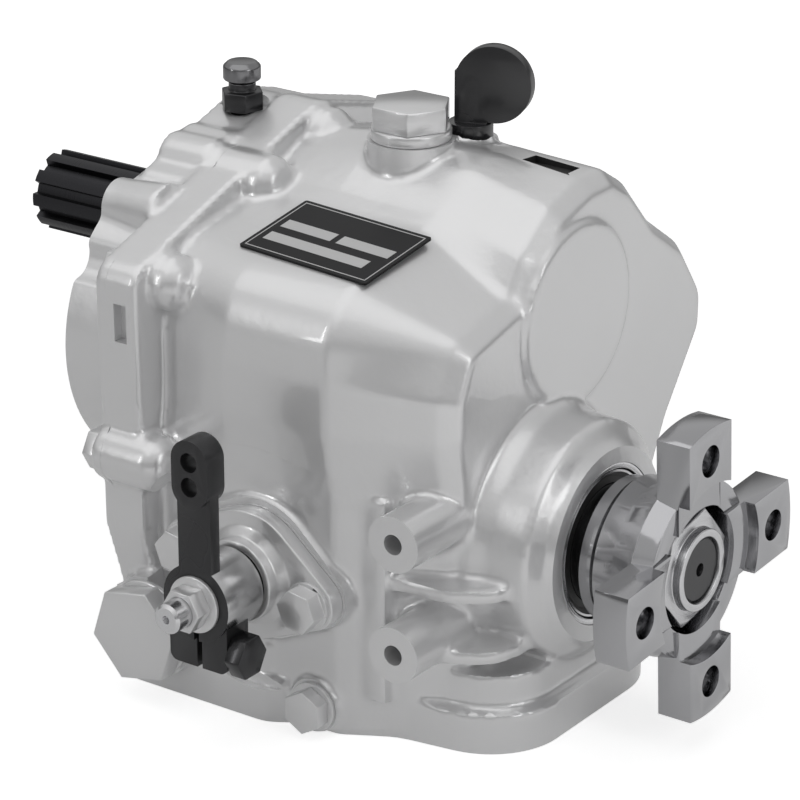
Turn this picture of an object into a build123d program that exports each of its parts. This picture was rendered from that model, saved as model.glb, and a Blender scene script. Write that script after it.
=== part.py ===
from build123d import *
from math import asin, atan2, cos, degrees, pi, radians, sin, sqrt, tan
import os

os.makedirs("parts", exist_ok=True)

# Marine reversing gearbox with a dropped output shaft.
# Frame: X runs aft along the shafts, Y to starboard, Z up. The origin lies in the
# engine mounting face, at the middle of its four bolts. Millimetres.

# Driving dimensions: gear train
module = 2.25
forward_pinion_teeth = 17
forward_gear_teeth = 45
reverse_pinion_teeth = 16
idler_teeth = 18
reverse_gear_teeth = 40
gear_width = 18.0
tooth_addendum = 1.0
tooth_dedendum = 1.25
tooth_backlash = 0.22
input_y = 18.0
output_z = -47.5

# Driving dimensions: stations along the shafts
joint_x = 26.0
front_flange_thickness = 4.0
main_flange_thickness = 12.0
clutch_x = 80.0
gear_face_gap = 22.0
waist_x = 40.0
shoulder_x = 68.0
taper_x = 108.0
rear_inner_x = 132.0
rear_rim_x = 140.5
rear_face_x = 146.0
disc_x = 148.0
disc_radius = 30.4
seal_boss_x = 171.6
spline_end_x = -71.0

# Driving dimensions: casings
wall = 5.0
gasket_thickness = 0.5
base_z = -109.5
lug_radius = 9.5
bell_radius = 51.0
bell_offset = 12.0
deck_slope = 0.2
deck_z = 51.6

# Driving dimensions: bearings and running fits
running_gap = 0.05
lip_gap = 0.08
sliding_gap = 0.1
seat_gap = 0.3
input_bearing_bore = 15.0
input_bearing_radius = 23.0
input_bearing_width = 13.0
input_tail_bearing_bore = 12.5
input_tail_bearing_radius = 26.0
input_tail_bearing_width = 15.0
input_tail_bearing_x = 124.0
output_front_bearing_radius = 28.5
output_front_bearing_width = 16.0
output_bearing_bore = 17.5
output_bearing_radius = 36.0
output_bearing_width = 17.0
front_bearing_x = 6.0

# Driving dimensions: shafts
spline_radius = 14.2
spline_root = 11.8
spline_teeth = 10
input_core_radius = 15.0
gear_journal_radius = 18.0
bush_thickness = 3.0
sleeve_spline_radius = 22.0
idler_axle_radius = 8.0
tail_spline_radius = 15.5
tail_thread_radius = 11.0

# Driving dimensions: cone clutch
cone_slope_deg = 10.0
clutch_travel = 4.5
sleeve_radius = 36.0
sleeve_half_length = 29.3
cone_land = 14.0
groove_width = 9.0
groove_radius = 26.0
cone_small_radius = 30.0

# Driving dimensions: shift lever
crank_radius = 9.0
crank_pin_radius = 3.5
shift_shaft_radius = 8.0
shift_thread_radius = 5.0
cover_face_y = 64.0
cover_thickness = 6.0
cover_bolt_offset = 25.0
neck_radius = 14.0
hub_radius = 13.0
hub_length = 18.0
arm_width = 13.0
arm_thickness = 4.5
eye_radius = 3.25
upper_eye = 48.7
lower_eye = 40.4
pinch_offset = 17.0
pinch_slot = 2.0

# Driving dimensions: output coupling
coupling_reach = 38.4
coupling_pcd = 78.0
coupling_hole_radius = 5.25
coupling_radius = 50.0
ear_width = 25.0
ear_thickness = 12.0
ear_turn_deg = 3.5
pilot_radius = 30.0
pilot_depth = 4.0
hub_barrel_radius = 24.0
seal_land_radius = 20.0
nut_width = 34.0

# Driving dimensions: engine side
pilot_spigot_radius = 24.0
pilot_spigot_length = 3.0
engine_bolt_y = 34.0
engine_bolt_z = 43.15
engine_thread_radius = 3.4
engine_boss_radius = 8.5

# Driving dimensions: outside fittings
bracket_spacing = 38.0
bracket_x = 137.0
bracket_face_y = 70.0
bracket_radius = 9.5
bracket_thread_radius = 3.4
filler_x = 81.4
filler_y = 18.0
filler_width = 24.0
side_plug_x = 40.5
side_plug_width = 30.0
drain_x = 101.0
breather_x = 12.5
breather_y = 17.3
dipstick_x = 91.7
dipstick_y = 37.5
dipstick_rod_radius = 2.0
dipstick_tab_radius = 13.0
plate_x = 86.0
plate_y = -30.0
plate_length = 53.0
plate_width = 33.0
plate_turn_deg = -4.7
plate_thickness = 0.8

# Positions that follow from the gear train
gear_distance = module * (forward_pinion_teeth + forward_gear_teeth) / 2
input_z = output_z + sqrt(gear_distance**2 - input_y**2)
idler_reach = module * (reverse_pinion_teeth + idler_teeth) / 2
idler_to_output = module * (idler_teeth + reverse_gear_teeth) / 2
idler_along = (idler_to_output**2 - idler_reach**2 + gear_distance**2) / (2 * gear_distance)
idler_aside = sqrt(idler_to_output**2 - idler_along**2)
line_y = input_y / gear_distance
line_z = (input_z - output_z) / gear_distance
idler_y = idler_along * line_y + idler_aside * line_z
idler_z = output_z + idler_along * line_z - idler_aside * line_y
shift_z = output_z - crank_radius
front_gear_x = clutch_x - gear_face_gap - gear_width
rear_gear_x = clutch_x + gear_face_gap
coupling_face_x = seal_boss_x + coupling_reach


# Helpers for placing shapes

def ahead(shape, x0, length, y=0.0, z=0.0):
    """Extrude a flat shape aft along X; the shape's own axes lie along Y and Z."""
    plane = Plane(origin=(x0, y, z), x_dir=(0, 1, 0), z_dir=(1, 0, 0))
    return extrude(plane * shape, length)


def outward(shape, depth, length, x=0.0, z=0.0):
    """Extrude a flat shape to port, from a depth beside the centre plane."""
    plane = Plane(origin=(x, -depth, z), x_dir=(1, 0, 0), z_dir=(0, -1, 0))
    return extrude(plane * shape, length)


def upward(shape, z0, length, x=0.0, y=0.0):
    """Extrude a flat shape up along Z."""
    return extrude(Plane(origin=(x, y, z0)) * shape, length)


def turned(points, y=0.0, z=0.0):
    """Turn a profile of (station, radius) points about an axis along X."""
    return Pos(0, y, z) * revolve(make_face(Polyline(*points, close=True)), Axis.X)


def turned_out(points, x, z):
    """Turn a profile of (depth to port, radius) points about an axis along Y."""
    return Pos(x, 0, z) * Rot(0, 0, -90) * turned(points)


def turned_up(points, x, y):
    """Turn a profile of (height, radius) points about a vertical axis."""
    return Pos(x, y, 0) * Rot(0, -90, 0) * turned(points)


def ring(x0, width, inner, outer, y=0.0, z=0.0):
    """A plain ring along X."""
    return ahead(Circle(outer) - Circle(inner), x0, width, y, z)


def rounded(points, radii):
    """A closed outline with rounded corners, as a flat shape."""
    return make_face(FilletPolyline(*points, radius=radii, close=True))


def splined(root, tip, teeth, width):
    """A straight-sided spline's section."""
    section_face = Circle(root)
    for i in range(teeth):
        key = Pos(tip / 2, 0) * Rectangle(tip, width)
        section_face += Rot(0, 0, 360 * i / teeth) * key
    return section_face & Circle(tip)


def hexagon(across_flats, turn=0.0):
    """A hexagon by its width across flats."""
    return Rot(0, 0, turn) * RegularPolygon(across_flats / sqrt(3), 6)


# Gears

def gear_section(teeth, first_tooth_deg, backlash=tooth_backlash):
    """A gear's outline with flanks through the root, pitch and tip circles."""
    pitch_r = module * teeth / 2
    root_r = pitch_r - tooth_dedendum * module
    tip_r = pitch_r + tooth_addendum * module
    pitch_half = degrees((module * 1.5708 - backlash) / 2 / pitch_r)
    root_half = pitch_half + degrees(0.34 * module / root_r)
    tip_half = pitch_half - degrees(0.5 * module / tip_r)
    points = []
    for i in range(teeth):
        middle = first_tooth_deg + 360 * i / teeth
        for r, turn in (
            (root_r, -root_half), (pitch_r, -pitch_half), (tip_r, -tip_half),
            (tip_r, tip_half), (pitch_r, pitch_half), (root_r, root_half),
        ):
            angle = radians(middle + turn)
            points.append((r * cos(angle), r * sin(angle)))
    return make_face(Polyline(*points, close=True))


forward_line_deg = degrees(atan2(output_z - input_z, -input_y))
reverse_line_deg = degrees(atan2(idler_z - input_z, idler_y - input_y))
idler_line_deg = degrees(atan2(output_z - idler_z, -idler_y))
idler_first_deg = reverse_line_deg + 180 + 180 / idler_teeth
idler_pitch_deg = 360 / idler_teeth
idler_lead_deg = (idler_first_deg - idler_line_deg + idler_pitch_deg / 2) % idler_pitch_deg
idler_lead_deg -= idler_pitch_deg / 2
reverse_gap_deg = idler_line_deg + 180 - idler_lead_deg * idler_teeth / reverse_gear_teeth
reverse_first_deg = reverse_gap_deg + 180 / reverse_gear_teeth
forward_first_deg = forward_line_deg + 180 + 180 / forward_gear_teeth
bush_outer = gear_journal_radius + running_gap + bush_thickness
cone_tan = tan(radians(cone_slope_deg))
hub_outer = bush_outer + 5.0
hub_reach = 8.0
recess_depth = 12.0
cone_gap = seat_gap / sin(radians(cone_slope_deg))


def male_cone_radius(distance):
    """Clutch cone radius at a distance from the sleeve's middle."""
    return cone_small_radius + (sleeve_half_length - distance) * cone_tan


def clutch_gear(teeth, first_deg):
    """A free gear with a cone seat, its clutch side at the clutch's middle plane."""
    face = gear_face_gap
    back = face + gear_width
    seat_end = face + recess_depth
    engaged = clutch_travel + cone_gap
    body = ahead(gear_section(teeth, first_deg), face, gear_width)
    body += ring(back, hub_reach, bush_outer, hub_outer)
    body -= turned([
        (face - 1, 0), (seat_end, 0),
        (seat_end, male_cone_radius(seat_end - engaged)),
        (face - 1, male_cone_radius(face - 1 - engaged)),
    ])
    return body - ahead(Circle(bush_outer), face, back + hub_reach)


def forward_side(piece):
    """Place a piece modelled aft of the clutch's middle plane ahead of it instead."""
    return Pos(clutch_x, 0, output_z) * mirror(piece, Plane.YZ)


def aft_side(piece):
    """Place a piece modelled aft of the clutch's middle plane where it belongs."""
    return Pos(clutch_x, 0, output_z) * piece


pieces = {}
hub_end = gear_face_gap + gear_width + hub_reach
web_start = gear_face_gap + recess_depth
bush = ring(web_start, hub_end - web_start, gear_journal_radius + running_gap, bush_outer)
washer_thickness = rear_inner_x - clutch_x - hub_end - seat_gap
gear_washer = ring(hub_end + seat_gap, washer_thickness, gear_journal_radius, hub_outer)
pieces["forward_gear"] = forward_side(clutch_gear(forward_gear_teeth, forward_first_deg))
pieces["forward_gear_bush"] = forward_side(bush)
pieces["forward_thrust_washer"] = forward_side(gear_washer)
pieces["reverse_gear"] = aft_side(clutch_gear(reverse_gear_teeth, reverse_first_deg))
pieces["reverse_gear_bush"] = aft_side(bush)
pieces["reverse_thrust_washer"] = aft_side(gear_washer)

# Input shaft with its two pinions cut from the solid
front_bearing_end = front_bearing_x + input_bearing_width
input_tail_end = input_tail_bearing_x + input_tail_bearing_width
seal_land_x = -6.0
input_collar_radius = 18.0
input_shaft = turned([
    (seal_land_x, 0), (seal_land_x, input_bearing_bore),
    (front_bearing_end, input_bearing_bore), (front_bearing_end, input_collar_radius),
    (front_gear_x, input_collar_radius), (front_gear_x, input_core_radius),
    (input_tail_bearing_x, input_core_radius),
    (input_tail_bearing_x, input_tail_bearing_bore),
    (input_tail_end, input_tail_bearing_bore), (input_tail_end, 0),
])
input_shaft += ahead(
    splined(spline_root, spline_radius, spline_teeth, 4.4), spline_end_x,
    seal_land_x - spline_end_x,
)
input_shaft += ahead(
    gear_section(forward_pinion_teeth, forward_line_deg), front_gear_x, gear_width
)
input_shaft += ahead(
    gear_section(reverse_pinion_teeth, reverse_line_deg), rear_gear_x, gear_width
)
pieces["input_shaft"] = Pos(0, input_y, input_z) * input_shaft

# Idler on its fixed axle
idler_bush_outer = idler_axle_radius + running_gap + bush_thickness
idler_washer = 1.4
clip_width = 1.2
clip_inner = idler_axle_radius - 0.8
clip_outer = idler_axle_radius + 2.6
axle_seat = 10.0
front_clip_x = rear_gear_x - seat_gap - idler_washer - seat_gap - clip_width
aft_washer_x = rear_gear_x + gear_width + seat_gap
axle_shoulder_x = aft_washer_x + idler_washer
axle_shoulder_radius = idler_axle_radius + 1.5
pieces["idler_gear"] = ahead(
    gear_section(idler_teeth, idler_first_deg) - Circle(idler_bush_outer),
    rear_gear_x, gear_width, idler_y, idler_z,
)
pieces["idler_bush"] = ring(
    rear_gear_x, gear_width, idler_axle_radius + running_gap, idler_bush_outer,
    idler_y, idler_z,
)
pieces["idler_axle"] = turned([
    (front_clip_x - 1.4, 0), (front_clip_x - 1.4, idler_axle_radius - 0.8),
    (front_clip_x - 0.6, idler_axle_radius), (front_clip_x, idler_axle_radius),
    (front_clip_x, clip_inner), (front_clip_x + clip_width, clip_inner),
    (front_clip_x + clip_width, idler_axle_radius), (axle_shoulder_x, idler_axle_radius),
    (axle_shoulder_x, axle_shoulder_radius), (rear_inner_x, axle_shoulder_radius),
    (rear_inner_x, idler_axle_radius), (rear_inner_x + axle_seat, idler_axle_radius),
    (rear_inner_x + axle_seat, 0),
], idler_y, idler_z)
pieces["idler_thrust_washers"] = Compound([
    ring(x, idler_washer, idler_axle_radius + sliding_gap, clip_outer + 1, idler_y, idler_z)
    for x in (front_clip_x + clip_width + seat_gap / 2, aft_washer_x)
])
pieces["idler_clip"] = ring(front_clip_x, clip_width, clip_inner, clip_outer, idler_y, idler_z)

# Output shaft and the sliding cone sleeve
spline_key = 7.0
spline_depth = 2.4
tail_spline_depth = 2.0
tail_key = 5.0
output_front_collar = 20.0
output_front_end = front_bearing_x + output_front_bearing_width
spline_half = web_start - 1.0
output_tail_end = rear_inner_x + output_bearing_width
washer_x = clutch_x - hub_end - seat_gap - washer_thickness
shaft_end_x = coupling_face_x - 4.0
pocket_floor = shaft_end_x - 13.0
thread_x = pocket_floor - 3.0
centre_radius = 2.2
output_shaft = turned([
    (front_bearing_x, 0), (front_bearing_x, input_bearing_bore),
    (output_front_end, input_bearing_bore), (output_front_end, output_front_collar),
    (washer_x, output_front_collar), (washer_x, gear_journal_radius),
    (rear_inner_x, gear_journal_radius), (rear_inner_x, output_bearing_bore),
    (output_tail_end, output_bearing_bore), (output_tail_end, tail_thread_radius),
    (shaft_end_x - 1, tail_thread_radius), (shaft_end_x, tail_thread_radius - 1),
    (shaft_end_x, centre_radius), (shaft_end_x - 8, 0),
], 0, output_z)
output_shaft += ahead(
    splined(sleeve_spline_radius - spline_depth, sleeve_spline_radius, 6, spline_key),
    clutch_x - spline_half, 2 * spline_half, 0, output_z,
)
output_shaft += ahead(
    splined(tail_spline_radius - tail_spline_depth, tail_spline_radius, 8, tail_key),
    output_tail_end, thread_x - output_tail_end, 0, output_z,
)
pieces["output_shaft"] = output_shaft

cone_end = sleeve_half_length - cone_land
clutch_sleeve = turned([
    (-sleeve_half_length, 0), (-sleeve_half_length, cone_small_radius),
    (-cone_end, male_cone_radius(cone_end)), (-cone_end, sleeve_radius),
    (-groove_width / 2, sleeve_radius), (-groove_width / 2, groove_radius),
    (groove_width / 2, groove_radius), (groove_width / 2, sleeve_radius),
    (cone_end, sleeve_radius), (cone_end, male_cone_radius(cone_end)),
    (sleeve_half_length, cone_small_radius), (sleeve_half_length, 0),
])
sleeve_bore = splined(
    sleeve_spline_radius - spline_depth + sliding_gap, sleeve_spline_radius + sliding_gap,
    6, spline_key + 2 * sliding_gap,
)
clutch_sleeve -= ahead(sleeve_bore, -sleeve_half_length - 1, 2 * sleeve_half_length + 2)
pieces["clutch_sleeve"] = Pos(clutch_x, 0, output_z) * clutch_sleeve

# Full-complement roller bearings: outer ring, inner ring and loose rollers
ring_thickness = 2.8
roller_end = 2.0
roller_spacing = 0.4


def roller_bearing(name, x0, width, bore, outer, y, z):
    """Add a bearing's two rings and its rollers to the pieces."""
    inner_track = bore + ring_thickness
    outer_track = outer - ring_thickness
    middle = (inner_track + outer_track) / 2
    roller = (outer_track - inner_track) / 2 - running_gap
    count = int(pi / asin((roller + roller_spacing / 2) / middle))
    pieces[name + "_outer_ring"] = ring(x0, width, outer_track, outer, y, z)
    pieces[name + "_inner_ring"] = ring(x0, width, bore, inner_track, y, z)
    pieces[name + "_rollers"] = Compound([
        ahead(Circle(roller), x0 + roller_end, width - 2 * roller_end,
              y + middle * cos(2 * pi * i / count), z + middle * sin(2 * pi * i / count))
        for i in range(count)
    ])


roller_bearing("input_front_bearing", front_bearing_x, input_bearing_width,
               input_bearing_bore, input_bearing_radius, input_y, input_z)
roller_bearing("input_rear_bearing", input_tail_bearing_x, input_tail_bearing_width,
               input_tail_bearing_bore, input_tail_bearing_radius, input_y, input_z)
roller_bearing("output_front_bearing", front_bearing_x, output_front_bearing_width,
               input_bearing_bore, output_front_bearing_radius, 0, output_z)
roller_bearing("output_rear_bearing", rear_inner_x, output_bearing_width,
               output_bearing_bore, output_bearing_radius, 0, output_z)

# Output coupling: four forged ears on a hub, with a nut in its pocket
ear_x = coupling_face_x - ear_thickness
ring_radius = 28.0
ring_x = coupling_face_x - 5.0
pocket_radius = 21.0
neck_x = ear_x - 12.0
barrel_x = seal_boss_x + 4.4
output_seal_width = 8.0
seal_radius = 27.0
ears = Sketch()
for turn in (0, 90):
    ears += Rot(0, 0, turn + ear_turn_deg) * RectangleRounded(
        2 * coupling_radius + 4, ear_width, 2.5
    )
ears = ears & Circle(coupling_radius)
coupling = ahead(ears, ear_x, ear_thickness, 0, output_z)
coupling += turned([
    (output_tail_end, 0), (output_tail_end, seal_land_radius),
    (barrel_x - 1, seal_land_radius), (barrel_x - 1, hub_barrel_radius - 1),
    (barrel_x, hub_barrel_radius), (neck_x - 6, hub_barrel_radius),
    (neck_x - 4, hub_barrel_radius + 1.5), (neck_x + 2, hub_barrel_radius + 1.5),
    (ear_x, ring_radius + 2.5),
    (ring_x, ring_radius + 1), (ring_x, 0),
], 0, output_z)
coupling -= ahead(
    Circle(pilot_radius), coupling_face_x - pilot_depth, pilot_depth + 1, 0, output_z
)
coupling -= ahead(
    splined(tail_spline_radius - tail_spline_depth + running_gap,
            tail_spline_radius + running_gap, 8, tail_key + 2 * running_gap),
    output_tail_end - 1, pocket_floor - output_tail_end + 2, 0, output_z,
)
coupling -= ahead(Circle(pocket_radius), pocket_floor, coupling_face_x, 0, output_z)
for i in range(4):
    turn = radians(90 * i + ear_turn_deg)
    coupling -= ahead(
        Circle(coupling_hole_radius), ear_x - 1, ear_thickness + 2,
        coupling_pcd / 2 * cos(turn), output_z + coupling_pcd / 2 * sin(turn),
    )
pieces["output_coupling"] = coupling
nut_height = 11.0
nut_collar = 13.6
nut = ahead(hexagon(nut_width, 12), pocket_floor, nut_height)
nut = nut & turned([
    (pocket_floor, 0), (pocket_floor, nut_width), (pocket_floor + nut_height - 2.6, nut_width),
    (pocket_floor + nut_height, nut_width / 2 + 0.2), (pocket_floor + nut_height, 0),
])
nut += ring(pocket_floor + nut_height, 3.0, tail_thread_radius, nut_collar)
nut -= ahead(Circle(tail_thread_radius), pocket_floor - 1, nut_height + 6)
pieces["coupling_nut"] = Pos(0, 0, output_z) * nut

# Shaft seals
pieces["output_seal"] = turned([
    (seal_boss_x - output_seal_width, seal_land_radius + lip_gap),
    (seal_boss_x - output_seal_width, seal_radius),
    (seal_boss_x - 0.4, seal_radius), (seal_boss_x - 0.4, seal_radius - 1.8),
    (seal_boss_x - 1.6, seal_radius - 2.4), (seal_boss_x - 2.4, seal_land_radius + 2),
    (seal_boss_x - 1.4, seal_land_radius + lip_gap),
], 0, output_z)
input_seal_radius = 20.0
input_seal_width = 7.0
input_seal_x = 0.5 - pilot_spigot_length
pieces["input_seal"] = ring(
    input_seal_x, input_seal_width, input_bearing_bore + lip_gap, input_seal_radius,
    input_y, input_z,
)

# Casting outlines, looking aft: (across, up, corner radius)
flange_points = [
    (-67, base_z, 3), (-64, -77, 14), (-72, -52, 20), (-73, 37, 8), (27, 70, 12),
    (72, 58, 16), (95, 38, 16), (101, 10, 16), (100, -14, 16), (82, -40, 20), (68, -71, 20),
    (67, base_z, 3),
]
waist_points = [
    (-62, base_z, 3), (-62, -30, 24), (-59, -4, 20), (-59, 13, 20), (-56, 40.4, 22),
    (-12, deck_z - 12 * deck_slope, 10), (-4, 51.6, 8), (12, 59, 10), (24, 62, 8),
    (40, 60, 8), (54, 50.5, 8), (69, 36, 8), (86, 25, 12), (97, 4, 14), (95, -14, 12),
    (78, -38, 16), (62, base_z, 3),
]
fore_points = [
    (-62, base_z, 3), (-62, -30, 24), (-66, -4, 20), (-66, 13, 20), (-63, 39, 22),
    (-12, deck_z - 12 * deck_slope, 10), (-4, 52.8, 8), (12, 62.5, 10), (24, 66, 8),
    (40, 64, 8), (54, 53, 8), (69, 37, 8), (88, 25, 12), (100, 5, 14), (99, -12, 12),
    (82, -38, 16), (62, base_z, 3),
]
aft_points = [
    (-44, base_z, 3), (-46, -34, 14), (-51, -4, 12), (-51, 10, 8), (-43, 27, 8),
    (-14, 34, 6), (-7, 46, 6), (8, 57.5, 8), (26, 62.5, 6), (40, 62.5, 8), (53, 54.5, 8),
    (69, 37, 8), (88, 24, 12), (101.5, 5, 14), (101, -10, 10), (81, -37, 16), (44, base_z, 3),
]
case_lugs = [
    (-57, 31), (-7, 50.9), (27, 58.5), (76, 44.5), (92, -7), (70, -50),
    (-69, -27.5), (-36, -99.5), (36, -99.5),
]
lug_end_x = 49.0
dowels = [(-66, 8), (95, 14)]
dowel_radius = 2.5
dowel_depth = 8.0


def outline(points, x0, inset=0.0):
    """A casting outline set in by a distance, as a face across X."""
    face = rounded([point[:2] for point in points], [point[2] for point in points])
    if inset:
        face = offset(face, -inset)
    return Plane(origin=(x0, 0, 0), x_dir=(0, 1, 0), z_dir=(1, 0, 0)) * face


def shell_between(x0, x1, inset):
    """The gear bay's form between two stations, set in from the outside."""
    neck = extrude(outline(waist_points, x0, inset), waist_x - x0)
    flare = loft([
        outline(waist_points, waist_x, inset).face(),
        outline(fore_points, shoulder_x, inset).face(),
    ], ruled=True)
    middle = extrude(outline(fore_points, shoulder_x, inset), taper_x - shoulder_x)
    tail = loft([
        outline(fore_points, taper_x, inset).face(),
        outline(aft_points, rear_rim_x, inset).face(),
    ], ruled=True)
    block = ahead(Rectangle(400, 400), x0, x1 - x0)
    return (neck + flare + middle + tail) & block


def at_places(shape, places, x0, length):
    """Extrude one flat shape aft at each of several places."""
    return Compound([ahead(shape, x0, length, y, z) for y, z in places])


def engine_bolts(radius, x0, length):
    """Cylinders at the four engine bolts."""
    corners = [(y, z) for y in (-engine_bolt_y, engine_bolt_y)
               for z in (-engine_bolt_z, engine_bolt_z)]
    return at_places(Circle(radius), corners, x0, length)


# Front housing: bell, flange plate and the tubes of the front bearings
bell_floor = 6.0
flange_front_x = joint_x - front_flange_thickness
bell_wall = 6.0
breather_seat_z = 65.1
bell_top_z = 68.0
bell_margin = 1.0
spot_face_radius = 9.0
head_pocket_radius = 7.7
bolt_radius = 4.0
tube_wall = 5.0
output_tube_radius = output_front_bearing_radius + tube_wall + 2
input_tube_radius = input_bearing_radius + tube_wall
lump_radius = 52.5
lump_start_x = 2.0


def bell(inset, x0, length):
    """The bell's section: an upright slot, the input lump and the output boss."""
    slot = SlotCenterToCenter(2 * bell_offset, 2 * (bell_radius - inset))
    lump = Pos(input_y, input_z) * Circle(lump_radius - inset)
    lump = lump & Pos(0, bell_top_z - inset - 200) * Rectangle(400, 400)
    flange = rounded([point[:2] for point in flange_points], [point[2] for point in flange_points])
    lump = lump & offset(flange, -(bell_margin + inset))
    boss = Pos(0, output_z) * Circle(output_tube_radius - inset)
    body = ahead(slot, x0, length) + ahead(boss, x0, length)
    lump_x = max(x0, lump_start_x)
    return body + ahead(lump, lump_x, x0 + length - lump_x)


def lug_columns(radius, x0, length):
    """Cylinders at the case bolts."""
    return at_places(Circle(radius), case_lugs, x0, length)


flange_plate = extrude(outline(flange_points, flange_front_x), front_flange_thickness)
boss_cone = extrude(
    Plane(origin=(0, 0, 0), x_dir=(0, 1, 0), z_dir=(1, 0, 0)) * Circle(engine_boss_radius),
    flange_front_x, taper=-6,
)
front_housing = bell(0, 0, flange_front_x + 1) + flange_plate
front_housing += lug_columns(lug_radius, flange_front_x, front_flange_thickness)
front_housing += [
    Pos(0, y, z) * boss_cone for y in (-engine_bolt_y, engine_bolt_y)
    for z in (-engine_bolt_z, engine_bolt_z)
]
bell_space = bell(bell_wall, bell_floor, joint_x - bell_floor + 1)
bell_space -= ahead(Circle(input_tube_radius), 0, flange_front_x, input_y, input_z)
bell_space -= ahead(
    Circle(output_tube_radius), 0, flange_front_x, 0, output_z
)
bell_space -= engine_bolts(engine_boss_radius, 0, flange_front_x)
bell_space -= lug_columns(lug_radius, 0, joint_x)
front_housing -= bell_space
front_housing += ahead(
    Circle(pilot_spigot_radius), -pilot_spigot_length, pilot_spigot_length, input_y, input_z
)
front_housing -= turned([
    (-pilot_spigot_length - 1, 0), (-pilot_spigot_length - 1, input_seal_radius),
    (input_seal_x + input_seal_width, input_seal_radius),
    (input_seal_x + input_seal_width, input_bearing_bore + 3),
    (front_bearing_x, input_bearing_bore + 3), (front_bearing_x, input_bearing_radius),
    (front_bearing_end, input_bearing_radius), (front_bearing_end, input_collar_radius + 2),
    (joint_x + 1, input_collar_radius + 2), (joint_x + 1, 0),
], input_y, input_z)
front_housing -= ahead(
    Circle(output_front_bearing_radius), front_bearing_x, joint_x, 0, output_z
)
front_housing -= engine_bolts(engine_thread_radius, -1, 17)
front_housing -= lug_columns(head_pocket_radius, -1, flange_front_x + 1)
front_housing -= lug_columns(bolt_radius, flange_front_x - 1, joint_x)
front_housing -= at_places(Circle(dowel_radius), dowels, flange_front_x, joint_x)
breather_thread_radius = 4.0
front_housing -= upward(
    Circle(breather_thread_radius), breather_seat_z - 12, 20, breather_x, breather_y
)
front_housing -= upward(
    Circle(spot_face_radius), breather_seat_z, 20, breather_x, breather_y
)
pieces["front_housing"] = front_housing

# Gasket between the castings
case_x = joint_x + gasket_thickness
flange_end_x = joint_x + gasket_thickness + main_flange_thickness
band_width = 9.0
gasket_face = outline(flange_points, joint_x)
gasket = extrude(gasket_face, gasket_thickness)
gasket += lug_columns(lug_radius, joint_x, gasket_thickness)
gasket -= extrude(outline(flange_points, joint_x - 1, band_width), 3) - lug_columns(
    lug_radius, joint_x - 1, 3
)
gasket -= lug_columns(bolt_radius, joint_x - 1, 3)
gasket -= at_places(Circle(dowel_radius), dowels, joint_x - 1, 3)
pieces["joint_gasket"] = gasket

# Main case
bolt_length = 20.0
lug_slope_x = lug_end_x - 5.0
plinth_points = [
    (case_x, -67, 3), (84, -67, 12), (104, -54, 12), (167.5, -44.5, 26),
    (167.5, 44.5, 26), (104, 54, 12), (84, 67, 12), (case_x, 67, 3),
]
plinth_steps = [(14.0, 0.0), (26.0, 3.5)]
plinth_floor = 6.0
boss_root_radius = 43.0
boss_crest_radius = 39.6
boss_land = 3.5
rim_chamfer = 5.0
flange_back_wall = 5.0


def plinth(inset, z0, height):
    """The foot's outline set in by a distance, as a slab."""
    face = rounded([point[:2] for point in plinth_points], [point[2] for point in plinth_points])
    if inset:
        face = offset(face, -inset)
    return upward(face, z0, height)


main_case = extrude(outline(flange_points, case_x), main_flange_thickness)
main_case += shell_between(case_x, rear_rim_x, 0)
main_case += loft([
    outline(aft_points, rear_rim_x).face(),
    outline(aft_points, rear_face_x, rim_chamfer).face(),
], ruled=True)
for height, inset in plinth_steps:
    main_case += plinth(inset, base_z, height) & Box(400, 400, 400)
for y, z in case_lugs:
    main_case += turned([
        (case_x, 0), (case_x, lug_radius), (lug_slope_x, lug_radius),
        (lug_end_x - 1, lug_radius - 3), (lug_end_x, lug_radius - 6), (lug_end_x, 0),
    ], y, z)
main_case += turned([
    (rear_inner_x, 0), (rear_inner_x, boss_root_radius), (rear_face_x, boss_root_radius),
    (rear_face_x + 6, boss_crest_radius + 0.8), (seal_boss_x - 6.4, boss_crest_radius),
    (seal_boss_x, seal_radius + boss_land), (seal_boss_x, 0),
], 0, output_z)
main_case += ahead(
    Circle(disc_radius), rear_inner_x, disc_x - rear_inner_x, input_y, input_z
)

# Bosses on the port side and on top
cover_pad_depth = 50.0
cover_turn_deg = -9.0
cover_pad = make_hull([
    *Circle(24).edges(), *(Pos(cover_bolt_offset, 0) * Circle(10)).edges(),
    *(Pos(-cover_bolt_offset, 0) * Circle(10)).edges(),
])
main_case += outward(
    Rot(0, 0, cover_turn_deg) * cover_pad, cover_pad_depth, cover_face_y - cover_pad_depth,
    clutch_x, shift_z,
)
bracket_z = -50.3
side_plug_z = -85.2
side_plug_face_y = 72.0
side_boss_radius = 17.5
drain_z = -100.0
drain_face_y = 63.5
drain_boss_radius = 9.0
for side in (-1, 1):
    main_case += outward(
        Circle(bracket_radius), 40, bracket_face_y - 40, bracket_x,
        bracket_z + side * bracket_spacing / 2,
    )
side_boss = outward(
    Circle(side_boss_radius), cover_pad_depth, side_plug_face_y - cover_pad_depth,
    side_plug_x, side_plug_z,
)
main_case += side_boss & ahead(Rectangle(400, 400), case_x, 2 * side_boss_radius + case_x)
main_case += outward(
    Circle(drain_boss_radius), 48, drain_face_y - 48, drain_x, drain_z
)
filler_seat_z = 67.5
filler_boss_radius = 14.5
filler_boss_length = 14.0
dipstick_seat_z = 64.5
dipstick_boss_radius = 9.0
main_case += upward(
    Circle(filler_boss_radius), filler_seat_z - filler_boss_length, filler_boss_length,
    filler_x, filler_y,
)
main_case += upward(
    Circle(dipstick_boss_radius), dipstick_seat_z - filler_boss_length, filler_boss_length,
    dipstick_x, dipstick_y,
)
rib_thickness = 5.0
rib_heights = (-53.2, -74.2)
web_x = 121.5
web_y = 50.0
web_z = -60.0
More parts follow.
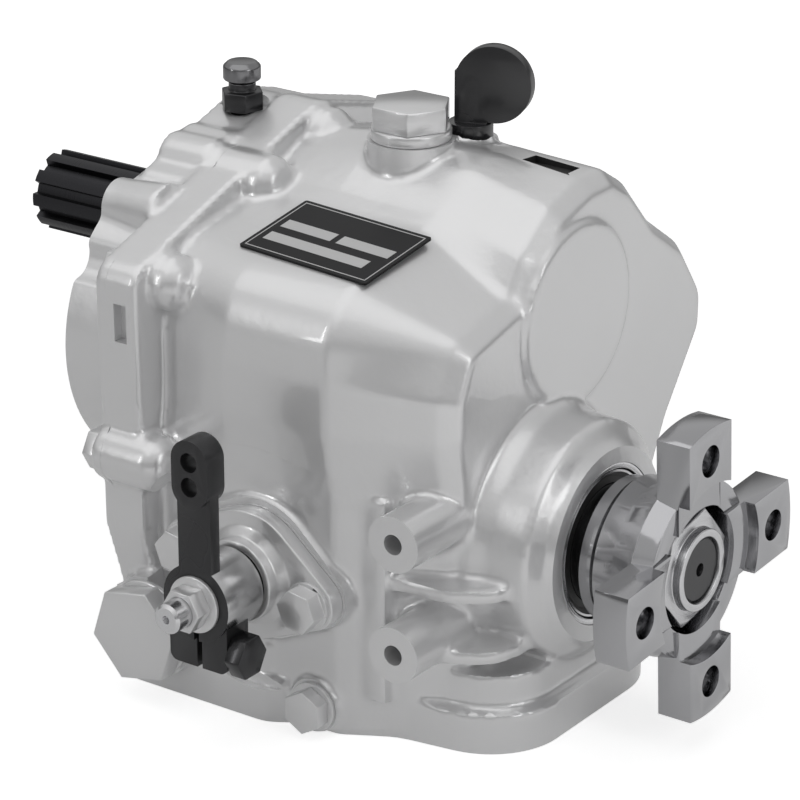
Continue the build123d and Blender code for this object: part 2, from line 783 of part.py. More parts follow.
web_thickness = 7.0
web_depth = 16.0
web_height = 70.0
rib_points = [
    (116, -40, 2), (116, -56, 2), (146, -54, 14), (159, -46, 14), (162, -34, 6), (162, 34, 6),
    (159, 46, 14), (146, 54, 14), (116, 56, 2), (116, 40, 2), (140, 36, 2), (140, -36, 2),
]
rib_face = rounded([point[:2] for point in rib_points], [point[2] for point in rib_points])
for z in rib_heights:
    main_case += upward(rib_face, z - rib_thickness / 2, rib_thickness)
for side in (-1, 1):
    main_case += Pos(web_x, side * web_y, web_z) * Box(web_thickness, web_depth, web_height)

# Space inside the case
bay_step_x = flange_end_x - flange_back_wall
bay = extrude(outline(flange_points, case_x - 1, band_width), bay_step_x - case_x + 1)
bay += shell_between(bay_step_x - 1, rear_inner_x, wall)
bay -= Pos(0, 0, base_z) * Box(400, 400, 2 * plinth_floor)
for y, z in case_lugs:
    bay -= ahead(Circle(lug_radius), 0, lug_end_x, y, z)
bay -= ahead(
    Circle(input_tail_bearing_radius + 3.5), input_tail_bearing_x, rear_inner_x,
    input_y, input_z,
)
bay -= upward(
    Circle(filler_boss_radius), filler_seat_z - filler_boss_length, filler_boss_length,
    filler_x, filler_y,
)
main_case -= bay
main_case -= turned([
    (input_tail_bearing_x - 1, 0), (input_tail_bearing_x - 1, input_tail_bearing_radius),
    (input_tail_end, input_tail_bearing_radius),
    (input_tail_end, input_tail_bearing_bore + 3), (input_tail_end + 2, 0),
], input_y, input_z)
main_case -= turned([
    (rear_inner_x - 1, 0), (rear_inner_x - 1, output_bearing_radius),
    (output_tail_end, output_bearing_radius), (output_tail_end, seal_land_radius + 2),
    (seal_boss_x - output_seal_width, seal_land_radius + 2),
    (seal_boss_x - output_seal_width, seal_radius), (seal_boss_x + 1, seal_radius),
    (seal_boss_x + 1, 0),
], 0, output_z)
main_case -= turned([
    (axle_shoulder_x, 0), (axle_shoulder_x, axle_shoulder_radius + seat_gap),
    (rear_inner_x, axle_shoulder_radius + seat_gap), (rear_inner_x, idler_axle_radius),
    (rear_inner_x + axle_seat, idler_axle_radius), (rear_inner_x + axle_seat, 0),
], idler_y, idler_z)
main_case -= lug_columns(bolt_radius, 0, flange_front_x - 1 + bolt_length + 4)
main_case -= at_places(Circle(dowel_radius), dowels, 0, joint_x + dowel_depth)
spigot_radius = 17.0
main_case -= outward(Circle(spigot_radius + running_gap), 40, 30, clutch_x, shift_z)
cover_thread_radius = 3.0


def cover_bolt_places(shape, depth, length):
    """Extrude a flat shape to port at each of the cover's two bolts."""
    turn = Rot(0, 0, cover_turn_deg)
    return Compound([
        outward(turn * Pos(x, 0) * shape, depth, length, clutch_x, shift_z)
        for x in (-cover_bolt_offset, cover_bolt_offset)
    ])


main_case -= cover_bolt_places(Circle(cover_thread_radius), cover_face_y - 8.5, 20)
for side in (-1, 1):
    main_case -= outward(
        Circle(bracket_thread_radius), bracket_face_y - 16, 20, bracket_x,
        bracket_z + side * bracket_spacing / 2,
    )
side_thread_radius = 11.0
drain_thread_radius = 4.0
filler_thread_radius = 9.0
main_case -= outward(Circle(side_thread_radius), 40, 40, side_plug_x, side_plug_z)
main_case -= outward(Circle(drain_thread_radius), 30, 40, drain_x, drain_z)
main_case -= upward(
    Circle(filler_thread_radius), filler_seat_z - 22, 30, filler_x, filler_y
)
main_case -= upward(
    Circle(dipstick_rod_radius + seat_gap), 20, 60, dipstick_x, dipstick_y
)
main_case -= upward(Circle(dipstick_boss_radius), dipstick_seat_z, 10, dipstick_x, dipstick_y)
pieces["main_case"] = main_case

# Case bolts and dowels
head_height = 5.0
head_width = 13.0
head_x = flange_front_x - head_height
pieces["case_bolts"] = Compound([
    (ahead(hexagon(head_width), head_x, head_height, y, z)
     + ahead(Circle(bolt_radius), flange_front_x, bolt_length, y, z)).solid()
    for y, z in case_lugs
])
pieces["dowel_pins"] = Compound([
    ahead(Circle(dowel_radius), flange_front_x + 0.5, 11, y, z) for y, z in dowels
])

# Cover plate with the shift shaft's neck, and its gasket and bolts
gasket_y = cover_face_y + gasket_thickness
cover_top_y = gasket_y + cover_thickness
neck_end_y = 77.0
spigot_end_y = 54.0
shift_seal_y = 72.0
shift_seal_radius = 11.5
cover_outline = Rot(0, 0, cover_turn_deg) * make_hull([
    *Circle(22).edges(), *(Pos(cover_bolt_offset, 0) * Circle(9)).edges(),
    *(Pos(-cover_bolt_offset, 0) * Circle(9)).edges(),
])
gasket_holes = cover_bolt_places(Circle(cover_thread_radius), cover_face_y - 1, 20)
pieces["shift_cover_gasket"] = outward(
    cover_outline, cover_face_y, gasket_thickness, clutch_x, shift_z
) - outward(Circle(spigot_radius), 60, 10, clutch_x, shift_z) - gasket_holes
shift_cover = outward(cover_outline, gasket_y, cover_thickness, clutch_x, shift_z)
shift_cover += turned_out([
    (spigot_end_y, 0), (spigot_end_y, spigot_radius), (gasket_y, spigot_radius),
    (cover_top_y, spigot_radius),
    (cover_top_y + 2.5, neck_radius), (neck_end_y, neck_radius), (neck_end_y, 0),
], clutch_x, shift_z)
shift_cover -= turned_out([
    (spigot_end_y - 1, 0), (spigot_end_y - 1, shift_shaft_radius + running_gap),
    (shift_seal_y, shift_shaft_radius + running_gap), (shift_seal_y, shift_seal_radius),
    (neck_end_y + 1, shift_seal_radius), (neck_end_y + 1, 0),
], clutch_x, shift_z)
pieces["shift_cover"] = shift_cover - gasket_holes
shift_seal_width = 4.5
pieces["shift_shaft_seal"] = outward(
    Circle(shift_seal_radius) - Circle(shift_shaft_radius + lip_gap), shift_seal_y,
    shift_seal_width, clutch_x, shift_z,
)
cover_washer = 1.6
cover_head_width = 13.0
pieces["shift_cover_bolts"] = Compound([
    solid for solid in (
        cover_bolt_places(Circle(cover_thread_radius), cover_face_y - 8, 14.5)
        + cover_bolt_places(Circle(8), cover_top_y, cover_washer)
        + cover_bolt_places(hexagon(cover_head_width), cover_top_y + cover_washer, 5.9)
    ).solids()
])

# Shift shaft with its crank and pin, and the shoe the pin carries
crank_face_y = 39.5
crank_back_y = 45.0
pin_end_y = 31.0
shaft_shoulder_y = neck_end_y + 2
lever_face_y = shaft_shoulder_y + hub_length
thread_end_y = 112.0
shift_shaft = turned_out([
    (crank_face_y, 0), (crank_face_y, hub_radius), (crank_back_y, hub_radius),
    (crank_back_y, shift_shaft_radius), (lever_face_y, shift_shaft_radius),
    (lever_face_y, shift_thread_radius), (thread_end_y - 1, shift_thread_radius),
    (thread_end_y, shift_thread_radius - 1), (thread_end_y, 1.4), (thread_end_y - 4, 0),
], clutch_x, shift_z)
shift_shaft += outward(
    Circle(crank_pin_radius), pin_end_y, crank_face_y - pin_end_y + 1, clutch_x, output_z
)
pieces["shift_shaft"] = shift_shaft
shoe_width = groove_width - 2 * seat_gap
shoe_height = 16.0
shoe_arc_radius = 27.2
shoe_back_y = 38.5
shoe = outward(
    RectangleRounded(shoe_width, shoe_height, 1), 20, shoe_back_y - 20, clutch_x, output_z
)
shoe -= ahead(Circle(shoe_arc_radius), clutch_x - 10, 20, 0, output_z)
pieces["shift_shoe"] = shoe - outward(
    Circle(crank_pin_radius + running_gap), 20, 30, clutch_x, output_z
)

# Lever: split hub, flat arm and oval pad with two eyes
pad_thickness = 9.0
pad_width = 14.0
pad_length = 23.0
pad_rise = 2.5
arm_face_y = lever_face_y - arm_thickness
pad_depth = arm_face_y - pad_rise
eye_middle = (upper_eye + lower_eye) / 2
pinch_y = lever_face_y - 7.0
pinch_width = 11.0
pinch_left = 12.0
pinch_right = 11.0
pinch_bolt_radius = 3.0
pinch_z = shift_z - pinch_offset
lever = outward(Circle(hub_radius), shaft_shoulder_y, hub_length, clutch_x, shift_z)
lever += outward(
    Pos(0, eye_middle / 2) * Rectangle(arm_width, eye_middle), arm_face_y, arm_thickness,
    clutch_x, shift_z,
)
lever += outward(
    Pos(0, eye_middle) * Rot(0, 0, 90) * SlotOverall(pad_length, pad_width), pad_depth,
    pad_thickness, clutch_x, shift_z,
)
lever += outward(
    Pos((pinch_right - pinch_left) / 2, -pinch_offset / 2 - 2.5)
    * RectangleRounded(pinch_left + pinch_right, pinch_offset + 7, 3),
    pinch_y - pinch_width / 2, pinch_width, clutch_x, shift_z,
)
lever -= outward(Circle(shift_shaft_radius), shaft_shoulder_y - 1, 30, clutch_x, shift_z)
lever -= outward(
    Pos(0, -pinch_offset) * Rectangle(pinch_slot, 2 * pinch_offset), shaft_shoulder_y - 1,
    30, clutch_x, shift_z,
)
for rise in (lower_eye, upper_eye):
    lever -= outward(Pos(0, rise) * Circle(eye_radius), pad_depth - 1, 20, clutch_x, shift_z)
pinch_start_x = clutch_x - pinch_left - 2
lever -= ahead(Circle(pinch_bolt_radius), pinch_start_x, 40, -pinch_y, pinch_z)
pieces["shift_lever"] = lever
pinch_head_x = clutch_x + pinch_right
pieces["lever_pinch_bolt"] = ahead(
    Circle(pinch_bolt_radius), pinch_start_x, pinch_head_x - pinch_start_x, -pinch_y, pinch_z
) + ahead(hexagon(head_width), pinch_head_x, 6, -pinch_y, pinch_z)
lever_washer_thickness = 1.5
pieces["lever_washer"] = outward(
    Circle(9.5) - Circle(shift_thread_radius), lever_face_y, lever_washer_thickness,
    clutch_x, shift_z,
)
pieces["lever_nut"] = outward(
    hexagon(head_width) - Circle(shift_thread_radius), lever_face_y + lever_washer_thickness,
    6.5, clutch_x, shift_z,
)

# Plugs, breather, dipstick and data plate
plug_washer = 4.0
pieces["filler_washer"] = upward(
    Circle(13.5) - Circle(filler_thread_radius), filler_seat_z, plug_washer, filler_x,
    filler_y,
)
filler_plug = upward(
    hexagon(filler_width), filler_seat_z + plug_washer, 8, filler_x, filler_y
)
filler_plug += upward(
    Circle(filler_thread_radius), filler_seat_z - 12, plug_washer + 12, filler_x, filler_y
)
pieces["filler_plug"] = filler_plug
side_washer = 2.0
side_washer_radius = 16.6
pieces["side_plug_washer"] = outward(
    Circle(side_washer_radius) - Circle(side_thread_radius), side_plug_face_y, side_washer,
    side_plug_x, side_plug_z,
)
pieces["side_plug"] = outward(
    hexagon(side_plug_width, 12), side_plug_face_y + side_washer, 7.5, side_plug_x,
    side_plug_z,
) + outward(
    Circle(side_thread_radius), side_plug_face_y - 11, side_washer + 11, side_plug_x,
    side_plug_z,
)
drain_washer = 1.5
pieces["drain_washer"] = outward(
    Circle(8.5) - Circle(drain_thread_radius), drain_face_y, drain_washer, drain_x, drain_z
)
pieces["drain_plug"] = outward(
    hexagon(head_width, 30), drain_face_y + drain_washer, 5.5, drain_x, drain_z
) + outward(
    Circle(drain_thread_radius), drain_face_y - 10, drain_washer + 10, drain_x, drain_z
)
breather_hex_width = 13.0
breather_hex_height = 6.5
breather_neck_height = 9.5
breather_neck_radius = 4.6
breather_cap_radius = 6.4
breather_cap_height = 16.5
breather = turned_up([
    (breather_seat_z - 6, 0), (breather_seat_z - 6, breather_thread_radius),
    (breather_seat_z, breather_thread_radius),
    (breather_seat_z + breather_hex_height, breather_neck_radius),
    (breather_seat_z + breather_neck_height, breather_neck_radius),
    (breather_seat_z + breather_neck_height + 1, breather_cap_radius),
    (breather_seat_z + breather_cap_height - 1.5, breather_cap_radius),
    (breather_seat_z + breather_cap_height, breather_cap_radius - 1.6),
    (breather_seat_z + breather_cap_height, 0),
], breather_x, breather_y)
breather += upward(
    hexagon(breather_hex_width, 15), breather_seat_z, breather_hex_height, breather_x, breather_y
)
pieces["breather"] = breather
dipstick_collar_height = 5.5
dipstick_collar_radius = 7.4
dipstick_tab_rise = 19.0
dipstick_tab_shift = 8.0
dipstick_tab_thickness = 5.0
dipstick_tab_turn_deg = 18.0
dipstick_length = 98.0
tab = Pos(dipstick_tab_shift, dipstick_tab_rise) * Circle(dipstick_tab_radius)
tab += Pos(0.5, dipstick_tab_rise / 2 + 2) * Rectangle(11, dipstick_tab_rise + 4)
cap = upward(Circle(dipstick_collar_radius), 0, dipstick_collar_height)
cap += Rot(0, 0, dipstick_tab_turn_deg) * outward(
    tab, -dipstick_tab_thickness / 2, dipstick_tab_thickness
)
cap &= upward(Circle(40), 0, 60)
cap -= upward(Circle(dipstick_rod_radius), -1, 7)
pieces["dipstick_cap"] = Pos(dipstick_x, dipstick_y, dipstick_seat_z) * cap
pieces["dipstick_rod"] = upward(
    Circle(dipstick_rod_radius), dipstick_seat_z + 6 - dipstick_length, dipstick_length,
    dipstick_x, dipstick_y,
)
deck_turn_deg = degrees(atan2(deck_slope, 1))
pieces["data_plate"] = (
    Pos(plate_x, plate_y, deck_z + deck_slope * plate_y + sliding_gap) * Rot(deck_turn_deg, 0, 0)
    * Rot(0, 0, plate_turn_deg)
    * upward(RectangleRounded(plate_length, plate_width, 0.8), 0, plate_thickness)
)

for name, piece in pieces.items():
    export_step(piece, "parts/" + name + ".step")
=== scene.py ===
# %% [markdown]
# # A small marine reversing gearbox
# This lesson dresses a gearbox that was built as solids. The solids give every size
# and place; here they get their cast surfaces, their finishes, lights and a camera.
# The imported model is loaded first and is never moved, so that each new piece can take
# its place from it.

import math

import bmesh
import bpy
from mathutils import Matrix, Vector


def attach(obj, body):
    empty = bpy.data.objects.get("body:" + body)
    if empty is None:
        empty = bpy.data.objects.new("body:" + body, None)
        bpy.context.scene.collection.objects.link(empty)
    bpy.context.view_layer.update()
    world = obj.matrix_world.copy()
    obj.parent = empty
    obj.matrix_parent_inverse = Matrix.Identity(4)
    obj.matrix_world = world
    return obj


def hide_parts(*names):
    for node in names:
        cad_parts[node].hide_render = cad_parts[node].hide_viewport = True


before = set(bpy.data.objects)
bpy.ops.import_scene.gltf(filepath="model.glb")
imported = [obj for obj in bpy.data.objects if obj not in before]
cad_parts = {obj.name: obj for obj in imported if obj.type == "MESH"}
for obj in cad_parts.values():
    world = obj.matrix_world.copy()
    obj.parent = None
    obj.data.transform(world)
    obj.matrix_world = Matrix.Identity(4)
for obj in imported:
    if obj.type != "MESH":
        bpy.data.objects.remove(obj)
bpy.context.view_layer.update()

# %% [markdown]
# Sizes below are written in millimetres and turned into metres by one factor, as the
# drawings of such a unit are in millimetres. X runs aft along the shafts, Y to
# starboard and Z up. The lever is on the port side, where Y is negative.

# %% Units, directions and the places that several pieces share
mm = 0.001
AFT = Vector((1, 0, 0))
FORE = Vector((-1, 0, 0))
PORT = Vector((0, -1, 0))
UP = Vector((0, 0, 1))
DOWN = Vector((0, 0, -1))
input_axis = (18.0, 19.887)
output_axis = (0.0, -47.5)
foot_z = -109.5
case_bolt_places = [
    (-57, 31), (-7, 50.9), (27, 58.5), (76, 44.5), (92, -7), (70, -50), (-69, -27.5),
    (-36, -99.5), (36, -99.5),
]
engine_bolt_places = [(y, z) for y in (-34, 34) for z in (-43.15, 43.15)]

# %% [markdown]
# A few small helpers. A rod and a block are bmesh primitives put in place by a matrix.
# They are used as forms to add and as cutters, as a machinist would use an end mill.

# %% Helpers: rods, blocks and finished pieces
def rod(shape, start, direction, radius, length, segments=64, end_radius=None):
    """Add a cylinder or cone that starts at a point and runs along a direction."""
    turn = direction.to_track_quat("Z", "Y").to_matrix().to_4x4()
    middle = Vector(start) * mm + direction * length * mm / 2
    far = radius if end_radius is None else end_radius
    made = bmesh.ops.create_cone(
        shape, cap_ends=True, segments=segments, radius1=radius * mm, radius2=far * mm,
        depth=length * mm, matrix=Matrix.Translation(middle) @ turn,
    )
    return made["verts"]


def block(shape, low, high):
    """Add a box between two corners."""
    low, high = Vector(low) * mm, Vector(high) * mm
    size = high - low
    made = bmesh.ops.create_cube(
        shape, matrix=Matrix.Translation((low + high) / 2) @ Matrix.Diagonal((*size, 1))
    )
    return made["verts"]


def lathe(shape, start, direction, profile, segments=96):
    """Add a ring turned from a closed profile of (distance along, radius) points."""
    turn = direction.to_track_quat("Z", "Y").to_matrix()
    loops = []
    for i in range(segments):
        angle = math.tau * i / segments
        side = Vector((math.cos(angle), math.sin(angle), 0))
        loops.append([
            shape.verts.new((Vector(start) + turn @ (side * radius) + direction * along) * mm)
            for along, radius in profile
        ])
    for i, loop in enumerate(loops):
        following = loops[(i + 1) % segments]
        for j in range(len(profile)):
            k = (j + 1) % len(profile)
            shape.faces.new((loop[j], following[j], following[k], loop[k]))


def as_piece(name, shape):
    """Turn a bmesh into an object at the origin, its faces pointing outwards."""
    bmesh.ops.recalc_face_normals(shape, faces=shape.faces)
    mesh = bpy.data.meshes.new(name)
    shape.to_mesh(mesh)
    shape.free()
    piece = bpy.data.objects.new(name, mesh)
    bpy.context.scene.collection.objects.link(piece)
    return piece


def copy_of(node):
    """A copy of a solid's mesh with its loose triangles merged."""
    shape = bmesh.new()
    shape.from_mesh(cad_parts[node].data)
    bmesh.ops.remove_doubles(shape, verts=shape.verts, dist=0.005 * mm)
    return shape


# %% Helpers: modifiers, cutting and smooth shading
def apply_modifiers(piece):
    """Keep what the modifiers make as the piece's own mesh."""
    graph = bpy.context.evaluated_depsgraph_get()
    made = bpy.data.meshes.new_from_object(piece.evaluated_get(graph))
    made.name = piece.name
    old = piece.data
    piece.modifiers.clear()
    piece.data = made
    bpy.data.meshes.remove(old)


def carve(piece, cutters, operation="DIFFERENCE"):
    """Cut a bmesh of cutters out of a piece, or join it on."""
    tool = as_piece("cutter", cutters)
    cut = piece.modifiers.new("carve", "BOOLEAN")
    cut.operation = operation
    cut.object = tool
    cut.solver = "EXACT"
    apply_modifiers(piece)
    bpy.data.meshes.remove(tool.data)


def drill(piece, starts, direction, radius, length, segments=64):
    """Cut the same round hole at each of several places."""
    cutters = bmesh.new()
    for start in starts:
        rod(cutters, start, direction, radius, length, segments)
    carve(piece, cutters)


def mill(piece, low, high):
    """Cut a box between two corners out of a piece."""
    cutters = bmesh.new()
    block(cutters, low, high)
    carve(piece, cutters)


def triangles(piece):
    """How many triangles a piece's mesh makes."""
    return sum(len(face.vertices) - 2 for face in piece.data.polygons)


def soften(piece, voxel, rounds, most):
    """Melt a piece's forms into one skin, round its edges and thin out its mesh."""
    melt = piece.modifiers.new("melt", "REMESH")
    melt.mode = "VOXEL"
    melt.voxel_size = voxel * mm
    ease = piece.modifiers.new("ease", "SMOOTH")
    ease.factor = 0.5
    ease.iterations = rounds
    apply_modifiers(piece)
    print("melted skin", triangles(piece))
    thin = piece.modifiers.new("thin", "DECIMATE")
    thin.ratio = min(1.0, most / triangles(piece))
    apply_modifiers(piece)


def shade(piece, sharp_deg=32.0):
    """Smooth shading, with the edges over an angle left sharp."""
    piece.data.shade_smooth()
    piece.data.set_sharp_from_angle(angle=math.radians(sharp_deg))




# %% [markdown]
# ## The castings
# The front housing and the main case are sand-cast aluminium under glossy paint. Their
# walls flow into each other with generous fillets, while the faces that were machined
# stay flat and crisp. A copy of the solid is stretched at those faces, melted into one
# skin by a voxel remesh, eased, and then cut back flat, in the order in which the real
# one is made: first cast, then machined.

# %% Sizes of both castings
case_face_x = 26.5
housing_face_x = 26.0
face_stock = 4
boss_stock = 3
skin_voxel = 1.25
skin_rounds = 5
bolt_radius = 4.0
small_thread_radius = 3.4
wide = 120


# %% Helper: stretch a face that is machined later
def stretch(shape, centre, direction, reach, length):
    """Move the points of a flat face outwards, within a reach of its centre."""
    centre = Vector(centre) * mm
    moved = 0
    for vert in shape.verts:
        away = vert.co - centre
        height = away.dot(direction)
        if abs(height) < 0.02 * mm and (away - direction * height).length < reach * mm:
            vert.co += direction * length * mm
            moved += 1
    return moved


# %% Cast the main case
bosses = [
    ((137, -70, -31.3), PORT, 12.5), ((137, -70, -69.3), PORT, 12.5),
    ((40.5, -72, -85.2), PORT, 19), ((101, -63.5, -100), PORT, 10.5),
    ((81.4, 18, 67.5), UP, 17.5), ((91.7, 37.5, 64.5), UP, 9.4),
    ((80, -64, -56.5), PORT, 42), ((171.6, 0, -47.5), AFT, 60),
]
shape = copy_of("main_case")
print("flange points", stretch(shape, (case_face_x, 0, 0), FORE, 400, face_stock))
print("foot points", stretch(shape, (100, 0, foot_z), DOWN, 400, face_stock))
for place, direction, radius in bosses:
    print("boss points", stretch(shape, place, direction, radius, boss_stock))
case = as_piece("cast_case", shape)
soften(case, skin_voxel, skin_rounds, 150000)
print("case skin", triangles(case))

# %% [markdown]
# Machining the case: the joint face, the foot and the boss faces are cut flat, and the
# bores and bolt holes are drilled. Cutting after the remesh keeps these edges sharp.
# Cutters that would touch each other go in one after the other, because the exact
# boolean asks for cutters that don't cross.

# %% Face the main case
mill(case, (case_face_x - 20, -wide, -140), (case_face_x, wide, wide))
mill(case, (0, -wide, -130), (200, wide, foot_z))
for place, direction, radius in bosses:
    drill(case, [place], direction, radius, 12)
print("faced case", triangles(case))

# %% Drill and bore the main case
cutters = bmesh.new()
for y, z in case_bolt_places:
    rod(cutters, (0, y, z), AFT, bolt_radius, 45, 32)
for z in (-31.3, -69.3):
    rod(cutters, (137, -54, z), PORT, small_thread_radius, 30, 48)
carve(case, cutters)
for start, radius in ((163.6, 27.0), (150.0, 22.0)):
    drill(case, [(start, *output_axis)], AFT, radius, 30, 96)
print("bored case", triangles(case))

# %% Cut the two pry slots
port_slot = ((29.5, -80, 13), (34.5, -69, 26))
crown_slot = ((119, 27, 61.5), (136, 35, 80))
mill(case, *port_slot)
mill(case, *crown_slot)
shade(case)
print("machined case", triangles(case))

# %% [markdown]
# The front housing is made in the same way. Its wall is thin beside the bolt pockets, and
# its upper port shoulder is rounder than the solid's, so a few rods are joined on before
# the skin is melted. The pockets and bolt holes are then cut to their true sizes.

# %% Cast the front housing
shape = copy_of("front_housing")
print("joint points", stretch(shape, (housing_face_x, 0, 0), AFT, 400, face_stock))
print("engine face points", stretch(shape, (0, 0, 0), FORE, 400, face_stock))
housing = as_piece("cast_housing", shape)
swellings = [(27.0, 57.4, 10.6), (0.5, 53.5, 9.0), (-7.5, 52.5, 9.4), (-14.0, 47.0, 7.0)]
for y, z, radius in swellings:
    swelling = bmesh.new()
    rod(swelling, (2.2, y, z), AFT, radius, 19.5, 48)
    carve(housing, swelling, "UNION")
soften(housing, skin_voxel, skin_rounds, 100000)
print("housing skin", triangles(housing))

# %% Machine the front housing
mill(housing, (housing_face_x, -wide, -140), (50, wide, wide))
mill(housing, (-20, -wide, -140), (0, wide, wide))
cutters = bmesh.new()
for y, z in case_bolt_places:
    rod(cutters, (-2, y, z), AFT, 7.7, 24, 48)
for y, z in engine_bolt_places:
    rod(cutters, (-2, y, z), AFT, small_thread_radius, 18, 32)
carve(housing, cutters)
drill(housing, [(12.5, 17.3, 65.1)], UP, 9.0, 12)
spigot = bmesh.new()
lathe(spigot, (0, *input_axis), FORE, [(-7.5, 20), (-7.5, 24), (2.4, 24), (3, 23.4), (3, 20)])
carve(housing, spigot, "UNION")
drill(housing, [(-4, *input_axis)], AFT, 20.0, 8.5, 96)
shade(housing)
print("front housing", triangles(housing))

# %% [markdown]
# ## Finishes
# Each finish is one Principled material. Effects that several of them share are node
# groups: the ripple of sprayed paint over a casting, and the fine rings that a lathe
# leaves. They read object coordinates, so that they stick to the piece.

# %% Helpers: node groups, noise and sums
def group_with(name, inputs, outputs):
    """An empty node group with named number sockets."""
    group = bpy.data.node_groups.new(name, "ShaderNodeTree")
    for label, value in inputs:
        socket = group.interface.new_socket(label, in_out="INPUT", socket_type="NodeSocketFloat")
        socket.default_value = value
    for label in outputs:
        group.interface.new_socket(label, in_out="OUTPUT", socket_type="NodeSocketFloat")
    return group, group.nodes.new("NodeGroupInput"), group.nodes.new("NodeGroupOutput")


def noise_node(tree, coordinates, scale, detail, roughness=0.5):
    """A noise texture on the piece's own coordinates, in features per metre."""
    noise = tree.nodes.new("ShaderNodeTexNoise")
    noise.inputs["Scale"].default_value = scale
    noise.inputs["Detail"].default_value = detail
    noise.inputs["Roughness"].default_value = roughness
    tree.links.new(coordinates, noise.inputs["Vector"])
    return noise.outputs["Fac"]


def math_node(tree, operation, first, second):
    """One sum, product or other step on two numbers or sockets."""
    step = tree.nodes.new("ShaderNodeMath")
    step.operation = operation
    for socket, value in zip(step.inputs, (first, second)):
        if isinstance(value, (int, float)):
            socket.default_value = value
        else:
            tree.links.new(value, socket)
    return step.outputs[0]


# %% Node group: the ripple of paint on a casting
ripple, ripple_in, ripple_out = group_with(
    "cast_ripple", [("Swell", 1.0), ("Peel", 1.0)], ["Height", "Shade"]
)
place = ripple.nodes.new("ShaderNodeTexCoord").outputs["Object"]
swell = math_node(ripple, "MULTIPLY", noise_node(ripple, place, 45, 2), ripple_in.outputs["Swell"])
peel = math_node(ripple, "MULTIPLY", noise_node(ripple, place, 420, 3), ripple_in.outputs["Peel"])
height = math_node(ripple, "ADD", swell, math_node(ripple, "MULTIPLY", peel, 0.22))
ripple.links.new(height, ripple_out.inputs["Height"])
ripple.links.new(noise_node(ripple, place, 14, 3), ripple_out.inputs["Shade"])

# %% [markdown]
# A lathe leaves rings round its axis. The distance from the axis plus the place along it
# feeds a noise in one dimension, so that both faces and barrels carry rings.

# %% Node group: the rings of turned steel
rings, rings_in, rings_out = group_with(
    "turned_rings", [("Centre Y", 0.0), ("Centre Z", 0.0), ("Fineness", 1.0)], ["Height"]
)
place = rings.nodes.new("ShaderNodeTexCoord").outputs["Object"]
apart = rings.nodes.new("ShaderNodeSeparateXYZ")
rings.links.new(place, apart.inputs[0])
across = math_node(rings, "SUBTRACT", apart.outputs["Y"], rings_in.outputs["Centre Y"])
above = math_node(rings, "SUBTRACT", apart.outputs["Z"], rings_in.outputs["Centre Z"])
across = math_node(rings, "MULTIPLY", across, across)
above = math_node(rings, "MULTIPLY", above, above)
radius = math_node(rings, "SQRT", math_node(rings, "ADD", across, above), 0.0)
line = math_node(rings, "ADD", radius, apart.outputs["X"])
line = math_node(rings, "MULTIPLY", line, rings_in.outputs["Fineness"])
along = rings.nodes.new("ShaderNodeTexNoise")
along.noise_dimensions = "1D"
along.inputs["Scale"].default_value = 2600
along.inputs["Detail"].default_value = 3
rings.links.new(line, along.inputs["W"])
rings.links.new(along.outputs["Fac"], rings_out.inputs["Height"])


# %% [markdown]
# One helper makes the Principled shader, one places a group, one feeds a height into the
# normal, and one spreads a mask over a range, so that no finish is a single flat value.

# %% Helpers: a Principled material and its bump
def finish_of(name, colour, metallic, roughness, coat=0.0, coat_roughness=0.1):
    """A material with one Principled shader; plain values sit on its own sockets."""
    material = bpy.data.materials.new(name)
    material.use_nodes = True
    shader = material.node_tree.nodes["Principled BSDF"]
    shader.inputs["Base Color"].default_value = (*colour, 1)
    shader.inputs["Metallic"].default_value = metallic
    shader.inputs["Roughness"].default_value = roughness
    shader.inputs["Coat Weight"].default_value = coat
    shader.inputs["Coat Roughness"].default_value = coat_roughness
    return material, shader


def placed_group(material, group, **values):
    """A node group put into a material with its own values."""
    node = material.node_tree.nodes.new("ShaderNodeGroup")
    node.node_tree = group
    for label, value in values.items():
        node.inputs[label.replace("_", " ")].default_value = value
    return node


def bumped(material, shader, height, depth, distance):
    """Feed a height into the shader's normal through a Bump node."""
    bump = material.node_tree.nodes.new("ShaderNodeBump")
    bump.inputs["Strength"].default_value = depth
    bump.inputs["Distance"].default_value = distance * mm
    material.node_tree.links.new(height, bump.inputs["Height"])
    material.node_tree.links.new(bump.outputs["Normal"], shader.inputs["Normal"])


def mottled(material, shader, mask, socket, low, high):
    """Spread a 0 to 1 mask over a range of greys or of roughness."""
    spread = material.node_tree.nodes.new("ShaderNodeMapRange")
    spread.inputs["From Min"].default_value = 0.3
    spread.inputs["From Max"].default_value = 0.7
    spread.inputs["To Min"].default_value = low
    spread.inputs["To Max"].default_value = high
    material.node_tree.links.new(mask, spread.inputs["Value"])
    material.node_tree.links.new(spread.outputs[0], shader.inputs[socket])


# %% [markdown]
# The paint is a pale silver with a clear gloss: a little metallic for the pearl, a clear
# coat for the sharp highlights, and a slow swell under them where the casting isn't
# perfectly even.

# %% The paints and metals
paint, shader = finish_of("silver_paint", (0.74, 0.74, 0.745), 0.45, 0.34, 0.95, 0.05)
skin = placed_group(paint, ripple, Swell=1.0, Peel=1.0)
bumped(paint, shader, skin.outputs["Height"], 0.35, 0.9)
mottled(paint, shader, skin.outputs["Shade"], "Roughness", 0.29, 0.39)


def turned_metal(name, colour, roughness, centre, fineness=1.0, depth=0.12):
    """Bare steel with the fine rings of the lathe round an axis along X."""
    material, shader = finish_of(name, colour, 1.0, roughness)
    marks = placed_group(
        material, rings, Centre_Y=centre[0] * mm, Centre_Z=centre[1] * mm, Fineness=fineness
    )
    bumped(material, shader, marks.outputs["Height"], depth, 0.08)
    mottled(material, shader, marks.outputs["Height"], "Roughness", roughness * 0.8,
            roughness * 1.25)
    return material


